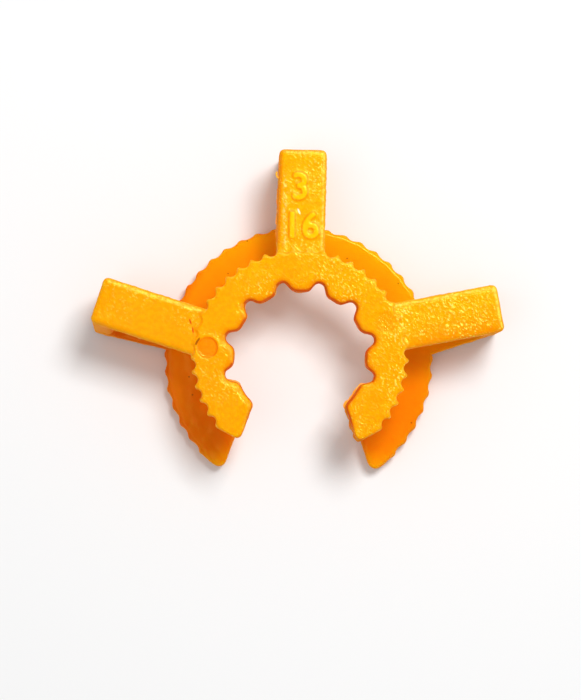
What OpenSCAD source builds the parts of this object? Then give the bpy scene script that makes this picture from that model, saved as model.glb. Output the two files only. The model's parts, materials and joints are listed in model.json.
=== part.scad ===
// Ground glass joint clip, moulded in one piece.
// Two open toothed rings share one axis and are joined by three sprung arms.
// The upper ring grips the tube of the cone, the lower ring grips the body of the
// socket, and the socket's rim is held between them.
// The axis is Z. The clip lies on the outer face of its lower ring, at z = 0, with
// the mouth of both rings towards -Y.

/* [Glass joint] */
// Radius across the tooth tips of the upper ring, which grips the cone's tube
upper_seat_r = 6.25; // [5.5:0.05:8]
// Radius across the tooth tips of the lower ring, which grips the socket's body
lower_seat_r = 8.5; // [7.5:0.05:11]
// Clear height between the two rings
rim_gap = 6.6; // [4.6:0.1:12]

/* [Rings] */
// Thickness of each ring
ring_t = 2.2; // [1.8:0.1:3]
// Radial width of the upper ring, from its tooth tips to its serrations
upper_ring_w = 4; // [3.2:0.05:5]
// Radial width of the lower ring at the middle arm, from its tooth tips to its serrations
lower_ring_w = 4.35; // [3.2:0.05:5.5]
// Extra width of the lower ring on the side of the mouth
lower_ring_growth = 0.3; // [0:0.05:0.6]
// Width of the bevel on the rings' long edges
ring_bevel = 0.25; // [0.1:0.05:0.4]

/* [Teeth] */
// Number of teeth round each ring, between the two end pads
tooth_count = 7; // [5:1:9]
// Radial depth of the notches between the teeth
tooth_depth = 1.1; // [0.6:0.05:1.4]
// Share of the tooth pitch taken by a notch at the tooth tips
notch_mouth_share = 0.54; // [0.4:0.01:0.6]
// Share of the tooth pitch taken by the floor of a notch
notch_floor_share = 0.24; // [0.15:0.01:0.32]
// Radius that rounds the corners of the tooth tips
tip_round = 0.4; // [0.1:0.05:0.4]
// Radius that rounds the corners of the notch floors
floor_round = 0.25; // [0.1:0.05:0.35]

/* [Serrations] */
// Number of serrations that would go round the upper ring's full circle
upper_serrations = 45.5; // [36:0.5:54]
// Number of serrations that would go round the lower ring's full circle
lower_serrations = 47; // [36:0.5:56]
// Depth of the serrations on the upper ring
upper_serration_depth = 0.45; // [0.15:0.05:0.5]
// Depth of the serrations on the lower ring
lower_serration_depth = 0.25; // [0.15:0.05:0.5]
// Share of the serration pitch taken by a groove
groove_share = 0.84; // [0.6:0.01:0.92]

/* [Mouth] */
// Angle from -Y to the inner corner of each upper prong
upper_mouth_half_angle = 44.5; // [36:0.5:52]
// Angle from -Y to the inner corner of each lower prong
lower_mouth_half_angle = 42; // [36:0.5:52]
// Angle by which the end faces of the prongs open outwards
mouth_flare = 19.5; // [10:0.5:26]
// Radius that rounds the ends of the upper prongs
upper_prong_round = 0.5; // [0.3:0.05:1]
// Radius that rounds the ends of the lower prongs
lower_prong_round = 0.7; // [0.4:0.05:1.4]
// Depth by which the outside of the upper prongs is cut back at their ends
upper_prong_taper = 0.6; // [0:0.05:0.8]
// Angle round the ring over which a prong's outside is straight
prong_flat_angle = 14; // [8:0.5:18]
// Serrations left out beside each prong's end
plain_serrations = 1; // [0:1:3]

/* [Arms] */
// Angle between the middle arm and each side arm
arm_spread = 75; // [68:1:80]
// Radius from the axis to the outer face of the right arm
right_reach = 19.55; // [17.5:0.05:24]
// Radius from the axis to the outer face of the middle arm
middle_reach = 19.65; // [17.5:0.05:24]
// Radius from the axis to the outer face of the left arm
left_reach = 19.9; // [17.5:0.05:24]
// Width of the arms
arm_w = 4.4; // [3.2:0.1:5.5]
// Radial thickness of the upright wall at the end of each arm
arm_wall_t = 1.9; // [1.4:0.1:2.4]
// Height by which the rings' faces stand proud of the arms
face_step = 0.35; // [0.1:0.05:0.6]
// Radius that rounds the outer edges of the arms
arm_edge_r = 0.45; // [0.2:0.05:0.7]
// Radius of the inner corners of each arm's window
window_r = 0.8; // [0.3:0.05:1.5]

/* [Twist and lean of the arms as moulded] */
// Turn of the right arm's upper strut off the radius
right_upper_twist = -3.5; // [-5:0.5:5]
// Turn of the right arm's lower strut off the radius
right_lower_twist = 4; // [-5:0.5:5]
// Turn of the middle arm's upper strut off the radius
middle_upper_twist = -0.5; // [-5:0.5:5]
// Turn of the middle arm's lower strut off the radius
middle_lower_twist = 0; // [-5:0.5:5]
// Turn of the left arm's upper strut off the radius
left_upper_twist = -2; // [-5:0.5:5]
// Turn of the left arm's lower strut off the radius
left_lower_twist = 2.5; // [-5:0.5:5]
// Lean of the left arm's end wall off the upright
left_lean = 4; // [-5:0.5:5]

/* [Ejector marks] */
// Radius of the left mark that an ejector pin leaves on the upper ring
left_mark_r = 1.05; // [0.6:0.05:1.1]
// Depth of the left mark
left_mark_depth = 0.16; // [0.05:0.01:0.3]
// Angle of the left mark round the ring
left_mark_angle = 175; // [170:1:180]
// Width of the lip raised round the left mark
mark_lip_w = 0.1; // [0.05:0.05:0.2]
// Height of the lip raised round the left mark
mark_lip_h = 0.08; // [0.04:0.01:0.15]
// Radius of the right mark
right_mark_r = 1.1; // [0.6:0.05:1.1]
// Depth of the right mark
right_mark_depth = 0.06; // [0.03:0.01:0.3]
// Angle of the right mark round the ring
right_mark_angle = 23; // [15:1:30]

/* [Hidden] */
$fn = 96;

clip_h = 2 * ring_t + rim_gap;
upper_ring_z = ring_t + rim_gap;
upper_outer_r = upper_seat_r + upper_ring_w;
lower_outer_r = lower_seat_r + lower_ring_w;
// Teeth are shared out evenly on the half circle away from the mouth
tooth_pitch = 180 / (tooth_count - 1);
strut_t = ring_t - face_step;
arm_h = clip_h - 2 * face_step;
// Middle of the solid part of each ring, between its notches and its serrations
upper_mid_r = (upper_seat_r + tooth_depth + upper_outer_r) / 2;
lower_mid_r = (lower_seat_r + tooth_depth + lower_outer_r) / 2;
// Share of the seat radius at which a notch's outline passes inside the teeth
land_reach = 0.97;
// Cuts run this far past the faces that they open
past = 1;

function polar(r, a) = [r * cos(a), r * sin(a)];
function unit(v) = v / norm(v);

// Points of the arc that rounds corner b of the path a, b, c
function rounded_corner(a, b, c, r, steps = 4) =
    let (
        u = unit(a - b),
        v = unit(c - b),
        half = acos(u * v) / 2,
        centre = b + unit(u + v) * r / sin(half),
        start = b + u * r / tan(half),
        swing = 180 - 2 * half,
        way = sign(u.y * v.x - u.x * v.y)
    )
    [for (i = [0:steps])
        let (s = start - centre, t = way * swing * i / steps)
        centre + [s.x * cos(t) - s.y * sin(t), s.x * sin(t) + s.y * cos(t)]];

// Rectangle with all four corners rounded, from the origin
module rounded_rectangle(size, r) {
    translate([r, 0])
        square([size.x - 2 * r, size.y]);
    translate([0, r])
        square([size.x, size.y - 2 * r]);
    for (x = [r, size.x - r], y = [r, size.y - r])
        translate([x, y])
            circle(r);
}

// Disc with bevelled edges, from which a ring is cut
module ring_blank(outer_r) {
    rotate_extrude()
        polygon([
            [0, 0],
            [outer_r - ring_bevel, 0],
            [outer_r, ring_bevel],
            [outer_r, ring_t - ring_bevel],
            [outer_r - ring_bevel, ring_t],
            [0, ring_t]
        ]);
}

// Bore through a ring, which opens out in a bevel at both ends
module seat_bore(seat_r) {
    flare_r = seat_r + ring_bevel + past;
    rotate_extrude()
        polygon([
            [0, -past],
            [flare_r, -past],
            [seat_r, ring_bevel],
            [seat_r, ring_t - ring_bevel],
            [flare_r, ring_t + past],
            [0, ring_t + past]
        ]);
}

// Outline of one notch between two teeth, open towards the axis
module notch_outline(seat_r) {
    mouth = tooth_pitch * notch_mouth_share / 2;
    floor_half = tooth_pitch * notch_floor_share / 2;
    tip = [for (s = [-1, 1]) polar(seat_r, s * mouth)];
    corner = [for (s = [-1, 1]) polar(seat_r + tooth_depth, s * floor_half)];
    // Just inside the tip of the tooth on each side
    land = [for (s = [-1, 1]) polar(seat_r * land_reach, s * (mouth + tooth_pitch / 2) / 2)];
    polygon(concat(
        [[seat_r / 2, 0], land[0]],
        rounded_corner(land[0], tip[0], corner[0], tip_round),
        rounded_corner(tip[0], corner[0], corner[1], floor_round),
        rounded_corner(corner[0], corner[1], tip[1], floor_round),
        rounded_corner(corner[1], tip[1], land[1], tip_round),
        [land[1]]
    ));
}

// Round grooves that leave the serrations standing between them
module serration_grooves(outer_r, count, depth, half_angle) {
    pitch = 360 / count;
    chord = 2 * outer_r * sin(pitch * groove_share / 2);
    groove_r = (chord * chord / 4 + depth * depth) / (2 * depth);
    last = floor((180 - half_angle) / pitch) - plain_serrations;
    for (i = [-last:last])
        rotate(90 + i * pitch)
            translate([outer_r + groove_r - depth, 0])
                circle(groove_r);
}

// What is cut away at the mouth: the gap, and the outside of each prong's end
module mouth(seat_r, outer_r, half_angle, prong_round, taper) {
    lip = polar(seat_r, half_angle - 90);
    face_way = polar(1, mouth_flare - 90);
    lip_along = lip * face_way;
    tip_r = outer_r - taper;
    face_length = sqrt(lip_along * lip_along + tip_r * tip_r - seat_r * seat_r) - lip_along;
    tip = lip + face_length * face_way;
    shoulder = polar(outer_r, atan2(tip.y, tip.x) + prong_flat_angle);
    outside = shoulder + unit(shoulder) * past;
    bottom = -outer_r - 2 * past;
    for (side = [0, 1])
        mirror([side, 0])
            polygon(concat(
                [[-past, 0], lip],
                rounded_corner(lip, tip, shoulder, prong_round),
                [shoulder, outside, [outside.x, bottom], [-past, bottom]]
            ));
}

// Toothed and serrated open ring, standing on z = 0. Its outside grows wider towards
// the mouth, about a centre of its own.
module open_ring(seat_r, top_r, growth, count, depth, half_angle, prong_round, taper) {
    outer_r = top_r + growth / 2;
    difference() {
        intersection() {
            linear_extrude(ring_t)
                difference() {
                    translate([0, -growth / 2]) {
                        difference() {
                            circle(outer_r);
                            serration_grooves(outer_r, count, depth, half_angle);
                        }
                    }
                    for (i = [0:tooth_count])
                        rotate((i - 0.5) * tooth_pitch)
                            notch_outline(seat_r);
                    mouth(seat_r, top_r + growth, half_angle, prong_round, taper);
                }
            translate([0, -growth / 2])
                ring_blank(outer_r);
        }
        seat_bore(seat_r);
    }
}

// Strut of an arm, with its outer face at z = 0. It runs from the middle of the
// arm's end wall, at x = 0, in towards the axis, and fills the window's corner.
module strut(length) {
    depth = strut_t + window_r;
    intersection() {
        rotate([90, 0, 0])
            linear_extrude(arm_w, center = true)
                difference() {
                    translate([-length, -depth])
                        square([length, depth]);
                    translate([-length - past - arm_wall_t / 2, -strut_t - 3 * window_r])
                        rounded_rectangle([length + past, 3 * window_r], window_r);
                }
        rotate([90, 0, -90])
            translate([-arm_w / 2, -depth - 2 * arm_edge_r])
                linear_extrude(length)
                    rounded_rectangle([arm_w, depth + 2 * arm_edge_r], arm_edge_r);
    }
}

// Upright wall at the end of an arm, centred on the axis of its own frame
module end_wall() {
    intersection() {
        linear_extrude(arm_h)
            translate([-arm_wall_t / 2, -arm_w / 2])
                rounded_rectangle([arm_wall_t, arm_w], arm_edge_r);
        rotate([90, 0, 0])
            linear_extrude(arm_w, center = true)
                translate([-arm_wall_t / 2, 0])
                    rounded_rectangle([arm_wall_t, arm_h], arm_edge_r);
        rotate([90, 0, 90])
            linear_extrude(arm_wall_t, center = true)
                translate([-arm_w / 2, 0])
                    rounded_rectangle([arm_w, arm_h], arm_edge_r);
    }
}

// Sprung arm: a strut from each ring, joined by the wall at their outer ends.
// The wall leans about the upper strut, and carries the lower strut to one side.
module arm(reach, upper_twist, lower_twist, lean) {
    wall_mid_r = reach - arm_wall_t / 2;
    translate([wall_mid_r, 0, face_step]) {
        rotate(upper_twist) {
            translate([0, 0, arm_h - strut_t / 2])
                rotate([lean, 0, 0])
                    translate([0, 0, strut_t / 2 - arm_h])
                        end_wall();
            translate([0, 0, arm_h])
                strut(wall_mid_r - upper_mid_r);
        }
        translate([0, (arm_h - strut_t) * sin(lean), 0])
            rotate(lower_twist)
                mirror([0, 0, 1])
                    strut(wall_mid_r - lower_mid_r);
    }
}

// Disc at an ejector mark, from depth below the upper ring's face to height above it
module mark_disc(angle, radius, depth, height) {
    rotate(angle)
        translate([upper_mid_r, 0, clip_h - depth])
            cylinder(r = radius, h = depth + height);
}

module clip() {
    color("orange")
        difference() {
            union() {
                open_ring(lower_seat_r, lower_outer_r, lower_ring_growth, lower_serrations,
                    lower_serration_depth, lower_mouth_half_angle, lower_prong_round, 0);
                translate([0, 0, upper_ring_z])
                    open_ring(upper_seat_r, upper_outer_r, 0, upper_serrations,
                        upper_serration_depth, upper_mouth_half_angle, upper_prong_round,
                        upper_prong_taper);
                rotate(90 - arm_spread)
                    arm(right_reach, right_upper_twist, right_lower_twist, 0);
                rotate(90)
                    arm(middle_reach, middle_upper_twist, middle_lower_twist, 0);
                rotate(90 + arm_spread)
                    arm(left_reach, left_upper_twist, left_lower_twist, left_lean);
                mark_disc(left_mark_angle, left_mark_r + mark_lip_w, ring_t / 2, mark_lip_h);
            }
            mark_disc(left_mark_angle, left_mark_r, left_mark_depth, past);
            mark_disc(right_mark_angle, right_mark_r, right_mark_depth, past);
        }
}

clip();
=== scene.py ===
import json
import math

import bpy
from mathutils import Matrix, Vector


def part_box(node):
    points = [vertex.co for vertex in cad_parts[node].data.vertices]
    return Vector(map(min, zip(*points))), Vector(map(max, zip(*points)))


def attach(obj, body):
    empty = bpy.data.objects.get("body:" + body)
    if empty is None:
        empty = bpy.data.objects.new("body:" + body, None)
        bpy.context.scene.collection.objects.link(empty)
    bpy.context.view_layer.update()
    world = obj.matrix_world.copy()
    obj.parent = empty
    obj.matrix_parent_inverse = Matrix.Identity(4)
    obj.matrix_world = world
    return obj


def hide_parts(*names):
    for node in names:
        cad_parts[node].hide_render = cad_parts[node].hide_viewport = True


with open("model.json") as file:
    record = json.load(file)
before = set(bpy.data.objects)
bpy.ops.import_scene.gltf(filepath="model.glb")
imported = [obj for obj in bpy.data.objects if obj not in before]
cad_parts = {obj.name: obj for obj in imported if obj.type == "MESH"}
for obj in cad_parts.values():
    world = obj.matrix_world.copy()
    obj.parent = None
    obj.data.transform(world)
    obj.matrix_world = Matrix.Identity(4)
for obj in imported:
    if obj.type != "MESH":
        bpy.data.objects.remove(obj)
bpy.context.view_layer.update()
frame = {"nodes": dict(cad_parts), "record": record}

# Dresses the ground glass joint clip. The clip is one springy moulding: two toothed
# rings and three looped arms. The frame gives the solid. This file rounds its edges,
# adds the raised figures and the flash of the mould, and gives it its satin,
# spark-eroded finish, with painted shade and painted highlights in its colour.
# Everything is in metres, with +Z up along the joint's axis and the mouth of both
# rings towards -Y. The upper ring's outer face is the front of the clip, and faces up.

bl_info = {
    "name": "Ground Glass Joint Clip",
    "version": (1, 0, 0),
    "blender": (4, 5, 0),
    "location": "View3D > Sidebar > Joint Clip",
    "description": "Makes a moulded clip for ground glass joints, and a stage to look at it on",
    "category": "Object",
}

MM = 0.001
CLIP_LOW, CLIP_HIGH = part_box("clip")
MIDDLE = (CLIP_LOW.z + CLIP_HIGH.z) / 2
HALF_HEIGHT = CLIP_HIGH.z - MIDDLE
MOUNTS = {mount["name"]: mount for mount in frame["record"]["mounts"]}
UPPER_SEAT_R = MOUNTS["upper_seat"]["dims"]["r_mm"] * MM
LOWER_SEAT_R = MOUNTS["lower_seat"]["dims"]["r_mm"] * MM

# Sizes of the solid that the frame doesn't give
UPPER_RING_WIDTH = 4.0 * MM
LOWER_RING_WIDTH = 4.35 * MM
RING_HEIGHT = 2.2 * MM
TOOTH_COUNT = 7
TOOTH_DEPTH = 1.1 * MM
MARK_LIP = 0.08 * MM
ARM_DROP = 0.43 * MM
UPPER_RING_R = UPPER_SEAT_R + UPPER_RING_WIDTH
LOWER_RING_R = LOWER_SEAT_R + LOWER_RING_WIDTH
UPPER_RING_LOW = CLIP_HIGH.z - MARK_LIP - RING_HEIGHT
LOWER_RING_HIGH = CLIP_LOW.z + RING_HEIGHT
ARM_FACE = CLIP_HIGH.z - ARM_DROP

# The ejector marks on the upper ring's face
LEFT_MARK = (-8.77 * MM, 0.77 * MM)
RIGHT_MARK = (8.10 * MM, 3.44 * MM)
MARK_R = 1.1 * MM
MARK_ZONE = 1.7 * MM

# How far from the seats the rounding of the teeth reaches, in millimetres
TEETH_REACH_MM = 2.4

# Corners closer than this are merged where a mesh is cut
CUT_THRESHOLD = 0.001 * MM

# The raised figures: their middles, the part of the middle arm that they take up, and how
# much bolder they are than plain type, as a share of their size
UPPER_FIGURE = (-0.2 * MM, CLIP_HIGH.y - 3.6 * MM)
LOWER_FIGURE = (-0.05 * MM, CLIP_HIGH.y - 7.3 * MM)
FIGURES_LENGTH = 9.2 * MM
FIGURES_HALF_WIDTH = 1.6 * MM
BOLDNESS = 0.018

# The curled nib: its way from the middle, from the arm's end and below the arm's face,
# and its turn in degrees
NIB_SIDE = -2.45 * MM
NIB_INSET = 2.5 * MM
NIB_SINK = 0.6 * MM
NIB_TURN = (90, 90, 25)
NIB_CUTS = (-0.3, -0.15, 0, 0.15, 0.3)

# Where the flash is heavy: x, y and radius in millimetres, and its share of the reach
UPPER_SPOTS = (
    (-2.2, 15.2, 1.4, 0.7),
    (-2.2, 13.4, 1.4, 0.8),
    (-2.2, 11.8, 1.2, 0.6),
    (5.5, -2.6, 0.8, 0.7),
    (4.9, -3.3, 0.9, 1.0),
    (4.1, -4.2, 0.9, 1.0),
    (4.3, -5.4, 0.9, 0.8),
    (4.7, -6.5, 0.9, 1.0),
    (5.2, -7.8, 0.9, 1.2),
    (-6.1, -2.2, 0.8, 0.8),
)
LOWER_SPOTS = (
    (-10.4, -6.2, 0.8, 1.0),
    (9.6, -7.6, 0.8, 0.8),
)

# Where the pebbles' painted highlights gather most, and the small painted highlights
# and painted crease shades: middle, turn in degrees and colour
HIGHLIGHT_CLUSTERS = ((1.6 * MM, 18.2 * MM), (-7.2 * MM, -2.6 * MM), (5.2 * MM, 8.0 * MM),
            (14.5 * MM, 3.2 * MM))
SMALL_HIGHLIGHT = (1.0, 0.95, 0.55)
CREASE_SHADE = (0.75, 0.08, 0.001)
SMALL_HIGHLIGHTS_AND_CREASE_SHADES = (((-0.3 * MM, 13.8 * MM), -65, SMALL_HIGHLIGHT),
             ((-9.45 * MM, -4.82 * MM), 60, SMALL_HIGHLIGHT),
             ((-10.4 * MM, 3.2 * MM), -70, CREASE_SHADE),
             ((-10.15 * MM, 2.4 * MM), -80, CREASE_SHADE))
PAINTED_SPOT_STRETCH = (3.2, 1, 60)

# The grain's pebbles lie slanting in plan, and a painted highlight runs left of the figures,
# along the middle arm's left bevel
GRAIN_TURN = -45
GRAIN_STRETCH = (1.45, 1, 1)
HIGHLIGHT_STREAK_LEFT = 1.65 * MM
HIGHLIGHT_STREAK_END = 17.8 * MM

# How satin acetal takes the light
ACETAL_IOR = 1.36
FACE_ROUGHNESS = 0.11
WALL_ROUGHNESS = 0.75
FLASH_ROUGHNESS = 0.35
SHEEN_TINT = (1.0, 0.78, 0.12)
SCATTER_SHARE = 0.7
SCATTER_COLOUR = (1.0, 0.16, 0.01)
SCATTER_DEPTH = 2.0 * MM

# The stage: a floor, two square lights and a camera nearly straight above
FLOOR_SIZE = 1.2
FLOOR_ROUGHNESS = 0.7
KEY_PLACE = (0.075, 0.115, 0.33)
KEY_SIZE = 0.1
FILL_PLACE = (-0.09, -0.02, 0.33)
FILL_SIZE = 0.14
CAMERA_LENS = 163.5
CAMERA_SENSOR = 36
CAMERA_AWAY = 0.3
CAMERA_BACK = (-0.010, -0.028, 1)
CAMERA_ROLL = 0.9
AIM_LEFT = 0.90 * MM
AIM_UP = 0.66 * MM


def length(name, description, default, **more):
    """A length property, in metres."""
    return bpy.props.FloatProperty(
        name=name, description=description, default=default,
        subtype="DISTANCE", unit="LENGTH", precision=6, **more)


def colour(name, description, default):
    """A linear colour property."""
    return bpy.props.FloatVectorProperty(
        name=name, description=description, default=default,
        subtype="COLOR", size=3, min=0.0, max=1.0)


class MouldingSizes(bpy.types.PropertyGroup):
    grid: length("Rounding grid", "Cell of the grid on which edges are rounded", 0.11 * MM)
    rounding: bpy.props.IntProperty(
        name="Rounding", description="Smoothing passes over all the edges", default=10)
    bore_rounding: bpy.props.IntProperty(
        name="Bore rounding", description="More passes over the teeth of both rings", default=95)
    faces: bpy.props.IntProperty(
        name="Faces", description="Triangles that are kept in the finished moulding",
        default=194000)
    swell: length("Swell", "Growth of the skin that makes up for the rounding", 0.06 * MM)
    sink_depth: length("Sink depth", "Height of the shallow waves in the moulded skin", 0.05 * MM)
    sink_size: length("Sink size", "Width of the shallow waves in the moulded skin", 1.3 * MM)


class FlashSizes(bpy.types.PropertyGroup):
    rise: length("Rise", "Way from each ring's inner face to the parting line", 0.8 * MM)
    root: length("Root", "Half the thickness of the flash where it leaves the wall", 0.06 * MM)
    reach: length("Reach", "How far the flash stands out where it is heaviest", 0.17 * MM)
    thin_reach: length("Thin reach", "How far the flash stands out all round", 0.12 * MM)
    ragged: length("Raggedness", "Length of the waves in the edge of the flash", 0.55 * MM)
    nib_r: length("Nib radius", "Half the thickness of the curled thread", 0.1 * MM)
    nib_length: length("Nib length", "Length of the curled thread", 0.9 * MM)
    nib_curl: bpy.props.FloatProperty(
        name="Nib curl", description="Angle through which the thread curls",
        default=math.radians(115), subtype="ANGLE", unit="ROTATION")


class FigureSizes(bpy.types.PropertyGroup):
    upper_figure: bpy.props.StringProperty(
        name="Upper figure", description="Figure near the middle arm's end", default="3")
    lower_figure: bpy.props.StringProperty(
        name="Lower figure", description="Figure next to the upper ring", default="16")
    height: length("Height", "Height by which the figures stand proud of the arm", 0.16 * MM)
    upper_size: length("Upper size", "Size of the upper figure's letter body", 3.55 * MM)
    lower_size: length("Lower size", "Size of the lower figure's letter body", 3.5 * MM)


class Finish(bpy.types.PropertyGroup):
    moulding: colour("Moulding", "Colour of the acetal", (1.0, 0.36, 0.001))
    # Used both for painted light, on the faces towards the key light, and for the random clouds
    # and mottle of tone
    pale_and_lit: colour("Pale", "Colour where the skin is thin and bright", (1.0, 0.46, 0.001))
    # Painted shade: the walls, the edges turned from the light, the band beside the teeth and the
    # sides of the middle arm and figures
    edge: colour("Edge", "Colour of the arms' smooth walls", (0.93, 0.26, 0.001))
    # Painted shade, darkest: among the teeth and at the lower ring's left rim
    deep_shade: colour("Deep", "Colour of the walls of teeth and notches", (0.72, 0.11, 0.001))
    # Painted shade: the lower ring where the upper ring and arms shadow it, and the right arm's
    # lower side; it also darkens the ejector marks
    painted_shade: colour("Sheltered", "Colour of the lower ring's inner face", (0.84, 0.17, 0.001))
    # A painted highlight: the colour of the sparkles on the pebbles and on the lit ridges
    painted_glint: colour("Glint", "Colour of the brightest pebbles", (1.0, 0.84, 0.13))
    raised: colour("Raised", "Colour of the raised figures", (1.0, 0.56, 0.003))
    # A painted highlight: the bright line along the middle arm's left bevel
    highlight_streak: colour("Streak", "Colour of the rubbed streak on the middle arm", (1.0, 0.82, 0.3))
    flash: colour("Flash", "Colour where thin flash has whitened", (1.0, 0.62, 0.12))
    # Dirt specks, and also the painted shade in the slit beside the left ejector mark
    dirt_and_slit_shade: colour("Speck", "Colour of the small specks of dirt", (0.3, 0.07, 0.002))
    speck_spacing: length("Speck spacing", "Usual way from one speck to the next", 3.2 * MM)
    grain_size: length("Grain", "Width of one pebble of the spark-eroded grain", 0.2 * MM)
    grain_depth: length("Grain depth", "Height of the grain", 0.018 * MM)


class StageLook(bpy.types.PropertyGroup):
    floor: colour("Floor", "Colour of the floor", (0.86, 0.86, 0.86))
    key_power: bpy.props.FloatProperty(
        name="Key light", description="Power of the key light", default=0.88,
        subtype="POWER", unit="POWER")
    fill_power: bpy.props.FloatProperty(
        name="Fill light", description="Power of the fill light", default=0.1,
        subtype="POWER", unit="POWER")
    sky: bpy.props.FloatProperty(
        name="Sky", description="Strength of the soft light from all round", default=0.45)


def start_clean():
    """Leaves edit mode and selects nothing."""
    if bpy.context.object and bpy.context.object.mode != "OBJECT":
        bpy.ops.object.mode_set(mode="OBJECT")
    bpy.ops.object.select_all(action="DESELECT")


def pick(piece):
    """Makes a piece the only selected and the active object."""
    start_clean()
    piece.select_set(True)
    bpy.context.view_layer.objects.active = piece


def bake_place(piece):
    """Puts a piece's place, turn and scale into its mesh."""
    pick(piece)
    bpy.ops.object.transform_apply(location=True, rotation=True, scale=True)


def apply_modifiers(piece):
    """Applies a piece's modifiers from the first to the last."""
    pick(piece)
    for modifier in list(piece.modifiers):
        bpy.ops.object.modifier_apply(modifier=modifier.name)


def merged_copy(node, name):
    """A copy of a node's mesh as a new piece, its loose triangles joined up."""
    piece = bpy.data.objects.new(name, frame["nodes"][node].data.copy())
    bpy.context.scene.collection.objects.link(piece)
    piece.data.materials.clear()
    pick(piece)
    bpy.ops.object.mode_set(mode="EDIT")
    bpy.ops.mesh.select_all(action="SELECT")
    bpy.ops.mesh.remove_doubles(threshold=0.0001 * MM)
    bpy.ops.object.mode_set(mode="OBJECT")
    return piece


def raised_text(name, words, size, place, height):
    """Figures as a closed mesh, lying at a place and facing up."""
    start_clean()
    bpy.ops.object.text_add(location=(0, 0, 0))
    piece = bpy.context.object
    piece.name = name
    text = piece.data
    text.body = words
    text.align_x = "CENTER"
    text.align_y = "CENTER"
    text.size = size
    text.extrude = height
    text.offset = size * BOLDNESS
    bpy.ops.object.convert(target="MESH")
    piece = bpy.context.object
    piece.location = place
    bake_place(piece)
    return piece


class CLIP_OT_raised_figures(bpy.types.Operator):
    """Plain raised figures on the outer face of the middle arm"""
    bl_idname = "clip.raised_figures"
    bl_label = "Raised figures"

    def execute(self, context):
        sizes = context.scene.clip_figures
        raised_text("upper_figure", sizes.upper_figure, sizes.upper_size,
                    (*UPPER_FIGURE, ARM_FACE), sizes.height)
        raised_text("lower_figure", sizes.lower_figure, sizes.lower_size,
                    (*LOWER_FIGURE, ARM_FACE), sizes.height)
        return {"FINISHED"}


class CLIP_OT_moulding(bpy.types.Operator):
    """The moulded body, its figures fused in and its edges rounded"""
    bl_idname = "clip.moulding"
    bl_label = "Moulded body"

    def execute(self, context):
        sizes = context.scene.clip_moulding
        body = merged_copy("clip", "moulded_body")
        fuse_figures(body, sizes.grid)
        round_edges(body, sizes)
        outline = body.data.copy()
        outline.name = "outline"
        thin_out(body, sizes.faces)
        body.vertex_groups.clear()
        pick(body)
        bpy.ops.object.shade_smooth()
        body.data.materials.append(moulding_material(context.scene.clip_finish))
        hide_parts("clip")
        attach(body, "root")
        return {"FINISHED"}


def fuse_figures(body, grid):
    """Joins the raised figures to the body, and makes all of it one closed skin."""
    pick(body)
    for name in ("upper_figure", "lower_figure"):
        bpy.data.objects[name].select_set(True)
    bpy.ops.object.join()
    remesh = body.modifiers.new("Grid", "REMESH")
    remesh.mode = "VOXEL"
    remesh.voxel_size = grid
    apply_modifiers(body)


def round_edges(body, sizes):
    """Rounds the edges, teeth most, and gives the skin its shallow waves."""
    edges = body.vertex_groups.new(name="edges")
    teeth = body.vertex_groups.new(name="teeth")
    for vertex in body.data.vertices:
        edges.add([vertex.index], edge_weight(vertex.co), "REPLACE")
        teeth.add([vertex.index], tooth_weight(vertex.co), "REPLACE")
    for name, passes in (("edges", sizes.rounding), ("teeth", sizes.bore_rounding)):
        smooth = body.modifiers.new("Round", "SMOOTH")
        smooth.factor = 0.5
        smooth.iterations = passes
        smooth.vertex_group = name
    swell = body.modifiers.new("Swell", "DISPLACE")
    swell.mid_level = 0
    swell.strength = sizes.swell
    sink = body.modifiers.new("Sink", "DISPLACE")
    sink.texture = waves("sink", sizes.sink_size)
    sink.texture_coords = "LOCAL"
    sink.strength = sizes.sink_depth
    apply_modifiers(body)


def thin_out(body, faces):
    """Thins the mesh to a number of triangles."""
    triangles = 2 * len(body.data.polygons)
    if triangles > faces:
        thin = body.modifiers.new("Thin", "DECIMATE")
        thin.ratio = faces / triangles
        apply_modifiers(body)


def tooth_weight(point):
    """1 among the teeth of either ring, falling to 0 towards its serrations."""
    seat_r = UPPER_SEAT_R if point.z > MIDDLE else LOWER_SEAT_R
    beyond = math.hypot(point.x, point.y) - seat_r
    return min(1, max(0, TEETH_REACH_MM - beyond / MM)) * (1 - mark_weight(point))


def edge_weight(point):
    """1 all over, and less on the raised figures and the left mark, which stay crisper."""
    on_arm = point.y > CLIP_HIGH.y - FIGURES_LENGTH and abs(point.x) < FIGURES_HALF_WIDTH
    if on_arm and point.z > ARM_FACE - 0.03 * MM:
        return 0.65
    return 1 - 0.75 * mark_weight(point)


def mark_weight(point):
    """1 at the left ejector mark, falling to 0 just outside it."""
    if point.z < UPPER_RING_LOW:
        return 0
    away = math.hypot(point.x - LEFT_MARK[0], point.y - LEFT_MARK[1])
    return min(1, max(0, (MARK_ZONE - away) / (0.4 * MM)))


def waves(name, size):
    """A soft cloud texture with waves of the given length."""
    texture = bpy.data.textures.new(name, "CLOUDS")
    texture.noise_scale = size
    return texture


class CLIP_OT_flash(bpy.types.Operator):
    """The thin flash that each ring's half of the mould has left round the clip"""
    bl_idname = "clip.flash"
    bl_label = "Parting flash"

    def execute(self, context):
        sizes = context.scene.clip_flash
        outline = bpy.data.meshes["outline"]
        finish = flash_material(context.scene.clip_finish)
        upper = UPPER_RING_LOW + sizes.rise
        lower = LOWER_RING_HIGH - sizes.rise
        for name, level, spots in (("upper_flash", upper, UPPER_SPOTS),
                                   ("lower_flash", lower, LOWER_SPOTS)):
            flash = parting_flash(outline, name, level, spots, sizes)
            flash.data.materials.append(finish)
            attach(flash, "root")
        bpy.data.meshes.remove(outline)
        return {"FINISHED"}


def place_weight(point, spots):
    """How heavy the flash is at a point: 1 on a spot, falling to 0 at its rim."""
    weight = 0
    for x, y, radius, most in spots:
        away = math.hypot(point.x - x * MM, point.y - y * MM) / (radius * MM)
        weight = max(weight, most * min(1, 2 - 2 * away))
    return weight


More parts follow.
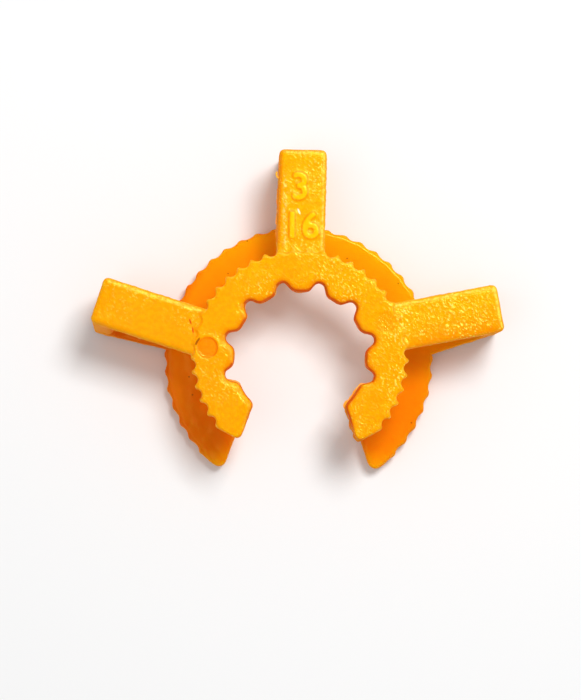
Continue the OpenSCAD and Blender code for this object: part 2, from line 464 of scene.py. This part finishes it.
def parting_flash(outline, name, level, spots, sizes):
    """Thin ragged flash round the body's outline at a level, heavier at some spots."""
    piece = bpy.data.objects.new(name, outline.copy())
    bpy.context.scene.collection.objects.link(piece)
    pick(piece)
    bpy.ops.object.mode_set(mode="EDIT")
    for height, below, above in ((level - sizes.root, True, False),
                                 (level + sizes.root, False, True),
                                 (level, False, False)):
        bpy.ops.mesh.select_all(action="SELECT")
        bpy.ops.mesh.bisect(plane_co=(0, 0, height), plane_no=(0, 0, 1),
                            clear_inner=below, clear_outer=above, threshold=CUT_THRESHOLD)
    bpy.ops.object.mode_set(mode="OBJECT")
    thin = piece.vertex_groups.new(name="thin")
    heavy = piece.vertex_groups.new(name="heavy")
    for vertex in piece.data.vertices:
        if abs(vertex.co.z - level) < 0.1 * sizes.root:
            thin.add([vertex.index], 1, "REPLACE")
            heavy.add([vertex.index], max(0, place_weight(vertex.co, spots)), "REPLACE")
    # A lower middle pushes more of the waves outwards
    for group, reach, middle in (("thin", sizes.thin_reach, 0.25),
                                 ("heavy", sizes.reach, -0.5)):
        push = piece.modifiers.new(group, "DISPLACE")
        push.vertex_group = group
        push.texture = waves(name + "_" + group, sizes.ragged)
        push.texture_coords = "LOCAL"
        push.strength = reach
        push.mid_level = middle
    back = piece.modifiers.new("Back", "SOLIDIFY")
    back.thickness = 2 * sizes.root
    back.offset = -1
    apply_modifiers(piece)
    piece.vertex_groups.clear()
    return piece


class Surface:
    """One material in the making: adds nodes to its tree and links them up."""

    def __init__(self, name):
        self.material = bpy.data.materials.new(name)
        self.material.use_nodes = True
        self.nodes = self.material.node_tree.nodes
        self.links = self.material.node_tree.links
        self.shader = self.nodes["Principled BSDF"]
        self.coordinate = self.nodes.new("ShaderNodeTexCoord")
        self.place = self.coordinate.outputs["Object"]

    def feed(self, socket, value):
        """Gives a socket another node's output, a number or a colour."""
        if isinstance(value, bpy.types.NodeSocket):
            self.links.new(value, socket)
        elif isinstance(value, (int, float)):
            socket.default_value = value
        else:
            socket.default_value = (*value, 1)

    def maths(self, operation, first, second=0.0):
        """Joins two values, or a value and a number, by a maths operation."""
        node = self.nodes.new("ShaderNodeMath")
        node.operation = operation
        self.feed(node.inputs[0], first)
        self.feed(node.inputs[1], second)
        return node.outputs["Value"]

    def product(self, result, *factors):
        """Multiplies values, from the first to the last."""
        for factor in factors:
            result = self.maths("MULTIPLY", result, factor)
        return result

    def greatest(self, result, *others):
        """The greatest of some values."""
        for other in others:
            result = self.maths("MAXIMUM", result, other)
        return result

    def ramp(self, value, low, high, to_low=0.0, to_high=1.0):
        """Stretches a value from low..high to a new range, with soft ends."""
        node = self.nodes.new("ShaderNodeMapRange")
        node.interpolation_type = "SMOOTHSTEP"
        node.inputs["From Min"].default_value = low
        node.inputs["From Max"].default_value = high
        node.inputs["To Min"].default_value = to_low
        node.inputs["To Max"].default_value = to_high
        self.links.new(value, node.inputs["Value"])
        return node.outputs["Result"]

    def noise(self, place, size, detail=2.0):
        """A soft noise with features of the given size."""
        node = self.nodes.new("ShaderNodeTexNoise")
        node.inputs["Scale"].default_value = 1 / size
        node.inputs["Detail"].default_value = detail
        self.links.new(place, node.inputs["Vector"])
        return node.outputs["Fac"]

    def tint(self, factor, first, second):
        """Mixes two colours, each a colour or another node's output."""
        node = self.nodes.new("ShaderNodeMix")
        node.data_type = "RGBA"
        self.links.new(factor, node.inputs["Factor"])
        self.feed(node.inputs["A"], first)
        self.feed(node.inputs["B"], second)
        return node.outputs["Result"]

    def parts(self, vector):
        """The three parts of a vector."""
        node = self.nodes.new("ShaderNodeSeparateXYZ")
        self.links.new(vector, node.inputs["Vector"])
        return [node.outputs[axis] for axis in "XYZ"]

    def stretched(self, turn, scale, centre=(0, 0, 0)):
        """The place, seen from a centre and stretched along a direction in plan."""
        node = self.nodes.new("ShaderNodeMapping")
        node.vector_type = "TEXTURE"
        node.inputs["Location"].default_value = centre
        node.inputs["Rotation"].default_value = (0, 0, math.radians(turn))
        node.inputs["Scale"].default_value = scale
        self.links.new(self.place, node.inputs["Vector"])
        return node.outputs["Vector"]

    def vector_maths(self, operation, vector, other=(0, 0, 0)):
        """Joins a vector and a fixed one by a maths operation."""
        node = self.nodes.new("ShaderNodeVectorMath")
        node.operation = operation
        self.links.new(vector, node.inputs[0])
        node.inputs[1].default_value = other
        return node.outputs["Vector" if operation == "MULTIPLY" else "Value"]

    def away_from(self, centre):
        """Distance from a point on the upper face."""
        return self.vector_maths("DISTANCE", self.place, (*centre, CLIP_HIGH.z))


class MouldedSurface(Surface):
    """The moulding's material, with where each point lies and which way it faces."""

    def __init__(self, finish):
        super().__init__("moulding")
        self.finish = finish
        self.x, self.y, self.z = self.parts(self.place)
        self.facing_x, facing_y, facing_z = self.parts(self.coordinate.outputs["Normal"])
        self.upright = self.maths("ABSOLUTE", facing_z)
        self.to_light = self.maths("ADD", facing_y, self.product(self.facing_x, 0.7))
        in_plan = self.vector_maths("MULTIPLY", self.place, (1, 1, 0))
        self.radius = self.vector_maths("LENGTH", in_plan)
        self.height = self.maths("SUBTRACT", self.z, MIDDLE)
        self.height_away = self.maths("ABSOLUTE", self.height)

        self.level = self.ramp(self.upright, 0.6, 0.995)
        self.face = self.face_mask()
        self.outer = self.product(
            self.ramp(self.height_away, 0.80 * HALF_HEIGHT, 0.88 * HALF_HEIGHT), self.face)
        self.on_arm = self.ramp(self.y, UPPER_RING_R + 0.25 * MM, UPPER_RING_R + 0.65 * MM)
        self.raised = self.product(
            self.ramp(self.z, ARM_FACE + 0.05 * MM, ARM_FACE + 0.12 * MM), self.on_arm)

        slant = self.stretched(GRAIN_TURN, GRAIN_STRETCH)
        self.pebble = self.noise(slant, finish.grain_size, 1.0)
        self.grain = self.noise(self.place, 1.9 * finish.grain_size)
        self.patch = self.noise(self.place, 5.0 * MM)

    def face_mask(self):
        """1 on the flat faces, and on the rounded edges that are as bright as they are; the
        painted wall shade is left off all of these.
        """
        crest = self.product(
            self.ramp(self.radius, UPPER_RING_R - 1.45 * MM, UPPER_RING_R - 0.85 * MM),
            self.ramp(self.z, ARM_FACE - 1.2 * MM, ARM_FACE - 0.5 * MM),
            self.ramp(self.y, -5 * MM, -2 * MM))
        # The edges that face the key light keep the face colour
        lit = self.product(
            self.ramp(self.to_light, 0.1, 0.4),
            self.ramp(self.upright, 0.2, 0.5),
            self.ramp(self.z, ARM_FACE - 0.6 * MM, ARM_FACE - 0.4 * MM))
        rim = self.product(
            self.ramp(self.radius, UPPER_RING_R - 0.65 * MM, UPPER_RING_R - 0.05 * MM),
            self.ramp(self.upright, 0.1, 0.4))
        return self.greatest(self.level, crest, lit, rim)

    def outer_colour(self):
        """The outer faces: painted light makes them paler towards the right and the middle arm,
        where the key light falls, and soft clouds and mottle vary them at random. The right arm's
        lower side gets painted shade.
        """
        # Painted light: paler towards the upper right, where the key light falls
        toward_key_light = self.maths("ADD", self.x, self.product(self.y, 2.0))
        cloud = self.noise(self.place, 3.0 * MM, 3.0)
        light = self.maths("ADD", self.ramp(toward_key_light, -20 * MM, 40 * MM, 0.0, 0.55),
                           self.ramp(cloud, 0.3, 0.7, 0.0, 0.25))
        mottle = self.ramp(self.grain, 0.35, 0.65, -0.24, 0.24)
        light = self.maths("ADD", light, self.product(mottle, self.outer))
        skin = self.tint(light, self.finish.moulding, self.finish.pale_and_lit)
        # Painted shade along the right arm's lower side, which turns from the light
        along_arm = self.maths("SUBTRACT", self.y, self.product(self.x, 0.2))
        right_arm_low_shade = self.product(
            self.ramp(along_arm, -0.9 * MM, 1.7 * MM, 0.35, 0.0),
            self.ramp(self.x, 9.5 * MM, 11.5 * MM))
        return self.tint(right_arm_low_shade, skin, self.finish.painted_shade)

    def shaded_inner_colour(self, skin):
        """The lower ring's inner face, in painted shade where the upper ring and arms shadow it,
        with painted light towards the prong tips and painted shade at its left rim.
        """
        # Painted light: the share of the unshaded colour, more towards the top and the outer rim,
        # less to the left
        lit_share = self.maths(
            "ADD",
            self.ramp(self.y, -9 * MM, 4 * MM, 0.0, 0.6),
            self.ramp(self.radius, UPPER_RING_R - 0.45 * MM, UPPER_RING_R + 3.75 * MM, 0.0, 0.55))
        lit_share = self.product(
            lit_share, self.ramp(self.x, -13 * MM, 2 * MM, 0.6, 1.0))
        # Painted light on the prong tips, beyond the shadow
        lit_prong_tips = self.ramp(self.y, -11 * MM, -7.5 * MM, 0.9, 0.0)
        inner = self.tint(self.greatest(lit_share, lit_prong_tips), self.finish.painted_shade, skin)
        # Painted shade at the outer rim on the left
        left_brink_shade = self.product(
            self.ramp(self.radius, LOWER_RING_R - 0.95 * MM, LOWER_RING_R + 0.15 * MM),
            self.ramp(self.x, -11 * MM, -8 * MM, 0.7, 0.0))
        return self.tint(left_brink_shade, inner, self.finish.deep_shade)

    def wall_shade_colour(self):
        """The smooth walls, in painted shade: darkest among the teeth, with painted light at the
        upper bore's foot.
        """
        notch_floor_r = UPPER_SEAT_R + TOOTH_DEPTH
        wall = self.tint(
            self.ramp(self.radius, notch_floor_r + 0.25 * MM, notch_floor_r + 1.65 * MM),
            self.finish.deep_shade, self.finish.edge)
        # Painted light at the foot of the upper bore's wall
        foot = self.product(
            self.ramp(self.z, UPPER_RING_LOW - 0.1 * MM, UPPER_RING_LOW),
            self.ramp(self.z, UPPER_RING_LOW + 0.3 * MM, UPPER_RING_LOW + 0.9 * MM, 0.7, 0.0))
        return self.tint(foot, wall, self.finish.moulding)

    def tooth_band_shade(self):
        """Painted shade in a band beside the upper ring's teeth, which follows their outline."""
        angle = self.maths("ARCTAN2", self.y, self.x)
        teeth_all_round = 2.0 * (TOOTH_COUNT - 1)
        wave = self.maths("COSINE", self.product(angle, teeth_all_round))
        bore = self.product(wave, -0.5 * TOOTH_DEPTH)
        middle_r = UPPER_SEAT_R + 0.5 * TOOTH_DEPTH
        return self.product(
            self.ramp(self.maths("SUBTRACT", self.radius, bore),
                      middle_r, middle_r + 0.7 * MM, 0.55, 0.0),
            self.ramp(self.y, -3 * MM, -1.5 * MM),
            self.outer)

    def flank_shade(self):
        """Painted shade on the middle arm's left side, which turns from the light, and on all
        sides of the raised figures.
        """
        turned = self.greatest(self.ramp(self.facing_x, -0.1, 0.2, 1.0, 0.0), self.raised)
        return self.product(self.ramp(self.upright, 0.86, 0.99, 0.75, 0.0), turned, self.on_arm)

    def ridge_highlight(self):
        """A painted highlight: the broken bright line along the upper edges that face the light.
        """
        return self.product(
            self.ramp(self.upright, 0.6, 0.9),
            self.ramp(self.to_light, 0.08, 0.35, 0.0, 0.75),
            self.ramp(self.z, ARM_FACE - 0.5 * MM, ARM_FACE - 0.3 * MM),
            self.ramp(self.grain, 0.4, 0.6, 0.35, 1.0),
            self.ramp(self.z, ARM_FACE + 0.02 * MM, ARM_FACE + 0.08 * MM, 1.0, 0.35))

    def highlight_streak(self):
        """A painted highlight along the left bevel of the middle arm."""
        aside = self.maths("ABSOLUTE", self.maths("ADD", self.x, HIGHLIGHT_STREAK_LEFT))
        return self.product(
            self.ramp(aside, 0.05 * MM, 0.26 * MM, 0.4, 0.0),
            self.on_arm,
            self.ramp(self.y, HIGHLIGHT_STREAK_END - 1.3 * MM, HIGHLIGHT_STREAK_END, 1.0, 0.0),
            self.ramp(self.pebble, 0.4, 0.6),
            self.outer)

    def add_small_highlights_and_crease_shades(self, skin):
        """Adds the small painted highlights and the painted shade in two creases."""
        for centre, turn, shade in SMALL_HIGHLIGHTS_AND_CREASE_SHADES:
            place = self.stretched(turn, PAINTED_SPOT_STRETCH, (*centre, ARM_FACE))
            away = self.vector_maths("LENGTH", place)
            skin = self.tint(self.ramp(away, 0.05 * MM, 0.12 * MM, 1.0, 0.0), skin, shade)
        return skin

    def inside_mark(self, centre):
        """1 inside an ejector mark."""
        return self.ramp(self.away_from(centre), MARK_R - 0.25 * MM, MARK_R, 1.0, 0.0)

    def mark_slit_shade(self):
        """Painted shade: the dark slit at the upper left of the left ejector mark's rim."""
        from_rim = self.maths("ABSOLUTE", self.maths(
            "SUBTRACT", self.away_from(LEFT_MARK), MARK_R))
        return self.product(
            self.ramp(from_rim, 0.05 * MM, 0.14 * MM, 0.9, 0.0),
            self.ramp(self.x, -9.55 * MM, -9.4 * MM, 1.0, 0.0),
            self.ramp(self.y, 0.9 * MM, 1.1 * MM))

    def painted_glints(self):
        """Painted highlights on the brightest pebbles, in patches and clusters, fewer to the
        left.
        """
        gathered = self.product(
            self.ramp(self.patch, 0.38, 0.6, 0.15, 0.9),
            self.ramp(self.y, -6 * MM, -1 * MM, 0.4, 1.0))
        for centre in HIGHLIGHT_CLUSTERS:
            gathered = self.greatest(
                gathered, self.ramp(self.away_from(centre), 0.6 * MM, 1.7 * MM, 1.2, 0.0))
        return self.product(
            self.ramp(self.pebble, 0.57, 0.7), gathered,
            self.ramp(self.x, -9 * MM, 8 * MM, 0.5, 1.0))

    def grain_strength(self):
        """How strong the spark-eroded grain is: outer faces only, less on the figures."""
        return self.product(
            self.outer,
            self.ramp(self.patch, 0.35, 0.6, 0.5, 1.0),
            self.ramp(self.raised, 0.0, 1.0, 1.0, 0.3),
            self.ramp(self.x, -15 * MM, 6 * MM, 0.75, 1.0))

    def specks(self):
        """Small specks of dirt on the faces between the rings."""
        node = self.nodes.new("ShaderNodeTexVoronoi")
        node.voronoi_dimensions = "2D"
        node.inputs["Scale"].default_value = 1 / self.finish.speck_spacing
        self.links.new(self.place, node.inputs["Vector"])
        between = self.product(
            self.ramp(self.height_away, 0.80 * HALF_HEIGHT, 0.88 * HALF_HEIGHT, 1.0, 0.0),
            self.face)
        return self.product(
            self.ramp(node.outputs["Distance"], 0.015, 0.035, 0.7, 0.0), between)


def flash_material(finish):
    """Thin acetal: the moulding's colour, paled unevenly where it has whitened."""
    surface = Surface("flash")
    surface.shader.inputs["Roughness"].default_value = FLASH_ROUGHNESS
    surface.shader.inputs["IOR"].default_value = ACETAL_IOR
    white = surface.ramp(surface.noise(surface.place, 0.5 * MM), 0.5, 0.75)
    surface.links.new(surface.tint(white, finish.moulding, finish.flash),
                      surface.shader.inputs["Base Color"])
    return surface.material


def moulding_material(finish):
    """Satin acetal: pebbled, spark-eroded faces and smooth walls, with painted shade on the walls
    and the lower ring, and painted highlights on the faces.
    """
    surface = MouldedSurface(finish)
    tint = surface.tint
    skin = surface.outer_colour()
    # Painted shade and light on the lower half: the lower ring's inner face
    skin = tint(surface.ramp(surface.height, -0.4 * HALF_HEIGHT, 0.5 * HALF_HEIGHT),
                surface.shaded_inner_colour(skin), skin)
    skin = tint(surface.raised, skin, finish.raised)
    # Painted shade beside the teeth
    skin = tint(surface.tooth_band_shade(), skin, finish.edge)
    # Painted shade on the middle arm's left side and on the figures' sides
    skin = tint(surface.flank_shade(), skin, finish.edge)
    # Painted shade on the walls and on the edges that turn from the light
    skin = tint(surface.face, surface.wall_shade_colour(), skin)
    # Painted highlight along the edges that face the light
    skin = tint(surface.ridge_highlight(), skin, finish.painted_glint)
    # Painted highlight along the middle arm's left bevel
    skin = tint(surface.highlight_streak(), skin, finish.highlight_streak)
    # Small painted highlights, and painted shade in the creases at the left arm's root
    skin = surface.add_small_highlights_and_crease_shades(skin)
    # Painted highlights on the pebbles
    painted_glints = surface.painted_glints()
    # Painted shade in the shallow ejector marks, where the painted highlights are left off
    for centre, depth in ((LEFT_MARK, 0.5), (RIGHT_MARK, 0.2)):
        inside = surface.inside_mark(centre)
        painted_glints = surface.product(painted_glints, surface.maths("SUBTRACT", 1.0, inside))
        skin = tint(surface.product(inside, depth), skin, finish.painted_shade)
    strength = surface.grain_strength()
    # Painted highlights, as strong as the grain
    skin = tint(surface.product(painted_glints, strength), skin, finish.painted_glint)
    # Painted shade in the slit at the left ejector mark
    skin = tint(surface.mark_slit_shade(), skin, finish.dirt_and_slit_shade)
    skin = tint(surface.specks(), skin, finish.dirt_and_slit_shade)

    shader = surface.shader
    links = surface.links
    shader.inputs["IOR"].default_value = ACETAL_IOR
    shader.inputs["Specular Tint"].default_value = (*SHEEN_TINT, 1)
    shader.inputs["Subsurface Weight"].default_value = SCATTER_SHARE
    shader.inputs["Subsurface Radius"].default_value = SCATTER_COLOUR
    shader.inputs["Subsurface Scale"].default_value = SCATTER_DEPTH
    links.new(skin, shader.inputs["Base Color"])
    links.new(surface.ramp(surface.level, 0.0, 1.0, WALL_ROUGHNESS, FACE_ROUGHNESS),
              shader.inputs["Roughness"])
    bump = surface.nodes.new("ShaderNodeBump")
    bump.inputs["Distance"].default_value = finish.grain_depth
    links.new(surface.product(surface.ramp(surface.pebble, 0.3, 0.75), strength),
              bump.inputs["Height"])
    links.new(bump.outputs["Normal"], shader.inputs["Normal"])
    return surface.material


class CLIP_OT_nib(bpy.types.Operator):
    """The curled thread of flash beside the middle arm's end"""
    bl_idname = "clip.nib"
    bl_label = "Nib"

    def execute(self, context):
        sizes = context.scene.clip_flash
        start_clean()
        bpy.ops.mesh.primitive_cylinder_add(vertices=12, radius=sizes.nib_r,
                                            depth=sizes.nib_length, end_fill_type="TRIFAN")
        piece = bpy.context.object
        piece.name = "nib"
        bpy.ops.object.mode_set(mode="EDIT")
        for step in NIB_CUTS:
            bpy.ops.mesh.select_all(action="SELECT")
            bpy.ops.mesh.bisect(plane_co=(0, 0, step * sizes.nib_length),
                                plane_no=(0, 0, 1), threshold=CUT_THRESHOLD)
        bpy.ops.object.mode_set(mode="OBJECT")
        curl = piece.modifiers.new("Curl", "SIMPLE_DEFORM")
        curl.deform_method = "BEND"
        curl.deform_axis = "X"
        curl.angle = sizes.nib_curl
        soft = piece.modifiers.new("Soft", "SUBSURF")
        soft.levels = 2
        uneven = piece.modifiers.new("Uneven", "DISPLACE")
        uneven.texture = waves("nib", 0.3 * MM)
        uneven.strength = 0.4 * sizes.nib_r
        apply_modifiers(piece)
        piece.rotation_euler = [math.radians(turn) for turn in NIB_TURN]
        piece.location = (NIB_SIDE, CLIP_HIGH.y - NIB_INSET, ARM_FACE - NIB_SINK)
        bake_place(piece)
        bpy.ops.object.shade_smooth()
        piece.data.materials.append(bpy.data.materials["moulding"])
        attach(piece, "root")
        return {"FINISHED"}


def add_floor(floor_colour):
    """A plain floor under the clip."""
    start_clean()
    bpy.ops.mesh.primitive_plane_add(size=FLOOR_SIZE, location=(0, 0, CLIP_LOW.z))
    floor = bpy.context.object
    floor.name = "floor"
    material = bpy.data.materials.new("floor")
    material.use_nodes = True
    shader = material.node_tree.nodes["Principled BSDF"]
    shader.inputs["Base Color"].default_value = (*floor_colour, 1)
    shader.inputs["Roughness"].default_value = FLOOR_ROUGHNESS
    floor.data.materials.append(material)


def add_light(name, place, size, power, aim):
    """A soft square light that faces a point."""
    start_clean()
    bpy.ops.object.light_add(type="AREA", location=place)
    light = bpy.context.object
    light.name = name
    light.data.shape = "SQUARE"
    light.data.size = size
    light.data.energy = power
    light.rotation_euler = (light.location - aim).to_track_quat("Z", "Y").to_euler()


def add_camera(aim):
    """A camera nearly straight above a point, rolled a little."""
    back = Vector(CAMERA_BACK).normalized()
    right = Vector((0, 1, 0)).cross(back).normalized()
    up = back.cross(right)
    target = aim - right * AIM_LEFT + up * AIM_UP
    bpy.ops.object.camera_add()
    camera = bpy.context.object
    camera.name = "camera"
    camera.data.lens = CAMERA_LENS
    camera.data.sensor_width = CAMERA_SENSOR
    camera.data.clip_start = 0.01
    camera.data.clip_end = 10
    camera.location = target + back * CAMERA_AWAY
    roll = Matrix.Rotation(math.radians(CAMERA_ROLL), 4, back)
    look_at = Matrix((right, up, back)).transposed().to_4x4()
    camera.matrix_world = Matrix.Translation(camera.location) @ roll @ look_at
    bpy.context.scene.camera = camera


class CLIP_OT_stage(bpy.types.Operator):
    """Pale floor, soft studio light and the camera"""
    bl_idname = "clip.stage"
    bl_label = "Stage"

    def execute(self, context):
        look = context.scene.clip_stage
        context.scene.view_settings.view_transform = "Standard"
        add_floor(look.floor)

        world = bpy.data.worlds.new("studio")
        context.scene.world = world
        world.use_nodes = True
        background = world.node_tree.nodes["Background"]
        background.inputs["Color"].default_value = (1, 1, 1, 1)
        background.inputs["Strength"].default_value = look.sky

        aim = Vector((0, 0, CLIP_HIGH.z))
        add_light("key_light", KEY_PLACE, KEY_SIZE, look.key_power, aim)
        add_light("fill_light", FILL_PLACE, FILL_SIZE, look.fill_power, aim)
        add_camera(aim)
        return {"FINISHED"}


class CLIP_PT_panel(bpy.types.Panel):
    """The clip's sizes and colours, and the steps that make it"""
    bl_idname = "CLIP_PT_panel"
    bl_label = "Joint Clip"
    bl_space_type = "VIEW_3D"
    bl_region_type = "UI"
    bl_category = "Joint Clip"

    def draw(self, context):
        layout = self.layout
        for group, operators in PANEL_ROWS:
            box = layout.box()
            values = getattr(context.scene, group)
            for name in values.__annotations__:
                box.prop(values, name)
            for operator in operators:
                box.operator(operator)


GROUPS = {
    "clip_figures": FigureSizes,
    "clip_moulding": MouldingSizes,
    "clip_flash": FlashSizes,
    "clip_finish": Finish,
    "clip_stage": StageLook,
}
PANEL_ROWS = (
    ("clip_figures", ["clip.raised_figures"]),
    ("clip_moulding", ["clip.moulding"]),
    ("clip_flash", ["clip.flash", "clip.nib"]),
    ("clip_finish", []),
    ("clip_stage", ["clip.stage"]),
)
CLASSES = (*GROUPS.values(), CLIP_OT_raised_figures, CLIP_OT_moulding, CLIP_OT_flash,
           CLIP_OT_nib, CLIP_OT_stage, CLIP_PT_panel)


def register():
    """Registers the classes, and gives the scene its groups of sizes and colours."""
    for each in CLASSES:
        bpy.utils.register_class(each)
    for name, group in GROUPS.items():
        setattr(bpy.types.Scene, name, bpy.props.PointerProperty(type=group))


def unregister():
    """Takes away what register has added."""
    for name in GROUPS:
        delattr(bpy.types.Scene, name)
    for each in reversed(CLASSES):
        bpy.utils.unregister_class(each)


def main():
    """Makes the clip and its stage."""
    register()
    bpy.ops.clip.raised_figures()
    bpy.ops.clip.moulding()
    bpy.ops.clip.flash()
    bpy.ops.clip.nib()
    bpy.ops.clip.stage()


if __name__ == "__main__":
    main()
